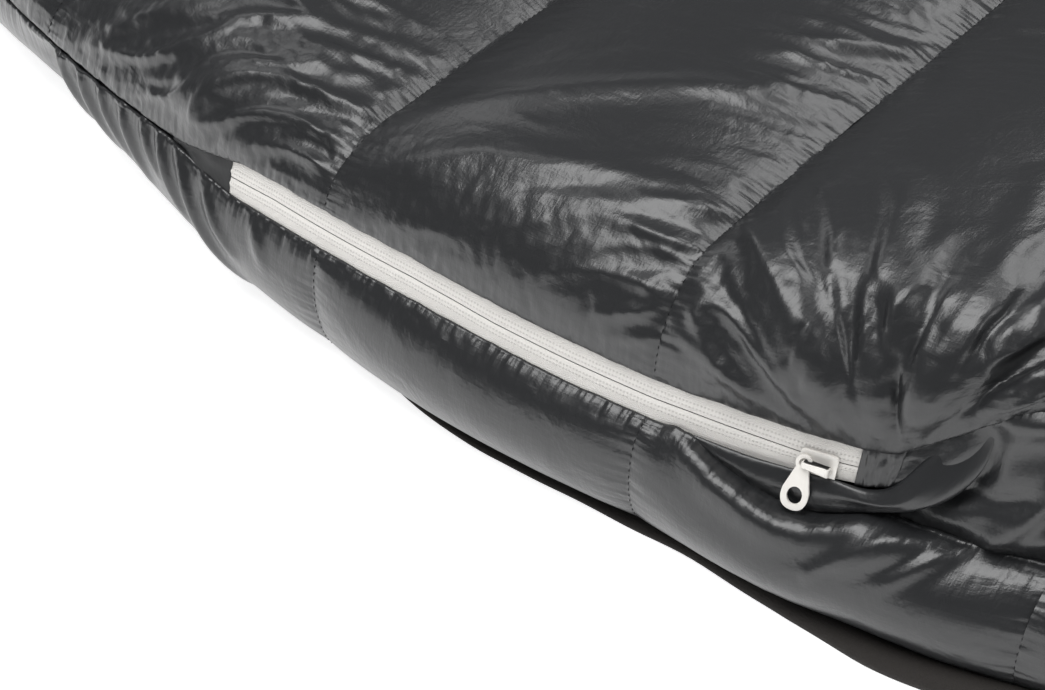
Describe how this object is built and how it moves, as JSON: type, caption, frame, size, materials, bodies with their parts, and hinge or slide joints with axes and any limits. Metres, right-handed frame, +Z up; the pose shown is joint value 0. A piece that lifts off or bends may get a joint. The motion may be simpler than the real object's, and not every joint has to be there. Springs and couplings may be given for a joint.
{
  "type": "camp quilt",
  "caption": "Down camp quilt folded lengthwise, with sewn baffles, a closed footbox and a coil zip whose slider runs along the side.",
  "frame": {"origin": "middle of the quilt's bounding box, on the ground", "axes": "+X from foot to head, +Y from the zipped side to the fold, +Z up"},
  "size_m": [1.931, 0.6998, 0.127],
  "materials": {
    "shell_nylon": "glossy ripstop nylon, charcoal",
    "liner_nylon": "satin taffeta, black",
    "down_fill": "loose down in a thin casing",
    "baffle_mesh": "fine no-see-um mesh",
    "base_cloth": "matte brown-black cloth",
    "zip_tape": "off-white herringbone tape",
    "zip_coil": "off-white nylon coil",
    "painted_zinc": "off-white baked enamel on zinc",
    "dark_metal": "gunmetal"
  },
  "bodies": {
    "quilt": {"down_chamber_01": "down_fill", "down_chamber_02": "down_fill", "down_chamber_03": "down_fill", "down_chamber_04": "down_fill", "down_chamber_05": "down_fill", "down_chamber_06": "down_fill", "down_chamber_07": "down_fill", "down_chamber_08": "down_fill", "down_chamber_09": "down_fill", "down_chamber_10": "down_fill", "down_chamber_11": "down_fill", "down_chamber_12": "down_fill", "toe_fill": "down_fill", "baffle_wall_01": "baffle_mesh", "baffle_wall_02": "baffle_mesh", "baffle_wall_03": "baffle_mesh", "baffle_wall_04": "baffle_mesh", "baffle_wall_05": "baffle_mesh", "baffle_wall_06": "baffle_mesh", "baffle_wall_07": "baffle_mesh", "baffle_wall_08": "baffle_mesh", "baffle_wall_09": "baffle_mesh", "baffle_wall_10": "baffle_mesh", "baffle_wall_11": "baffle_mesh", "outer_shell": "shell_nylon", "toe_panel": "shell_nylon", "side_seam": "shell_nylon", "side_gusset": "shell_nylon", "side_binding_upper": "shell_nylon", "side_binding_lower": "shell_nylon", "draft_tube": "shell_nylon", "head_hem": "shell_nylon", "snap_tab_upper": "shell_nylon", "snap_tab_lower": "shell_nylon", "zip_garage_head": "shell_nylon", "zip_garage_foot": "shell_nylon", "inner_liner": "liner_nylon", "toe_liner": "liner_nylon", "base_panel": "base_cloth", "zip_tape_upper": "zip_tape", "zip_tape_lower": "zip_tape", "zip_coil_upper": "zip_coil", "zip_coil_lower": "zip_coil", "top_stop_upper": "painted_zinc", "top_stop_lower": "painted_zinc", "bottom_stop": "painted_zinc", "eyelet_upper": "dark_metal", "eyelet_lower": "dark_metal", "snap_cap": "dark_metal", "snap_stud": "dark_metal", "snap_socket": "dark_metal", "snap_back": "dark_metal"},
    "slider": {"slider_body": "painted_zinc", "slider_crown": "painted_zinc"},
    "pull": {"pull_tab": "painted_zinc"}
  },
  "joints": [
    {"name": "slider_travel", "type": "hinge", "parent": "quilt", "child": "slider", "pos_m": [-0.54963, 0.42424, -0.1353], "axis": [0, 0.2588, 0.9659], "range_deg": [-19.6, 0]},
    {"name": "pull_swivel", "type": "hinge", "parent": "slider", "child": "pull", "pos_m": [-0.38993, -0.31699, 0.06331], "axis": [0.2048, -0.8701, 0.4484], "range_deg": [-95, 35]}
  ]
}
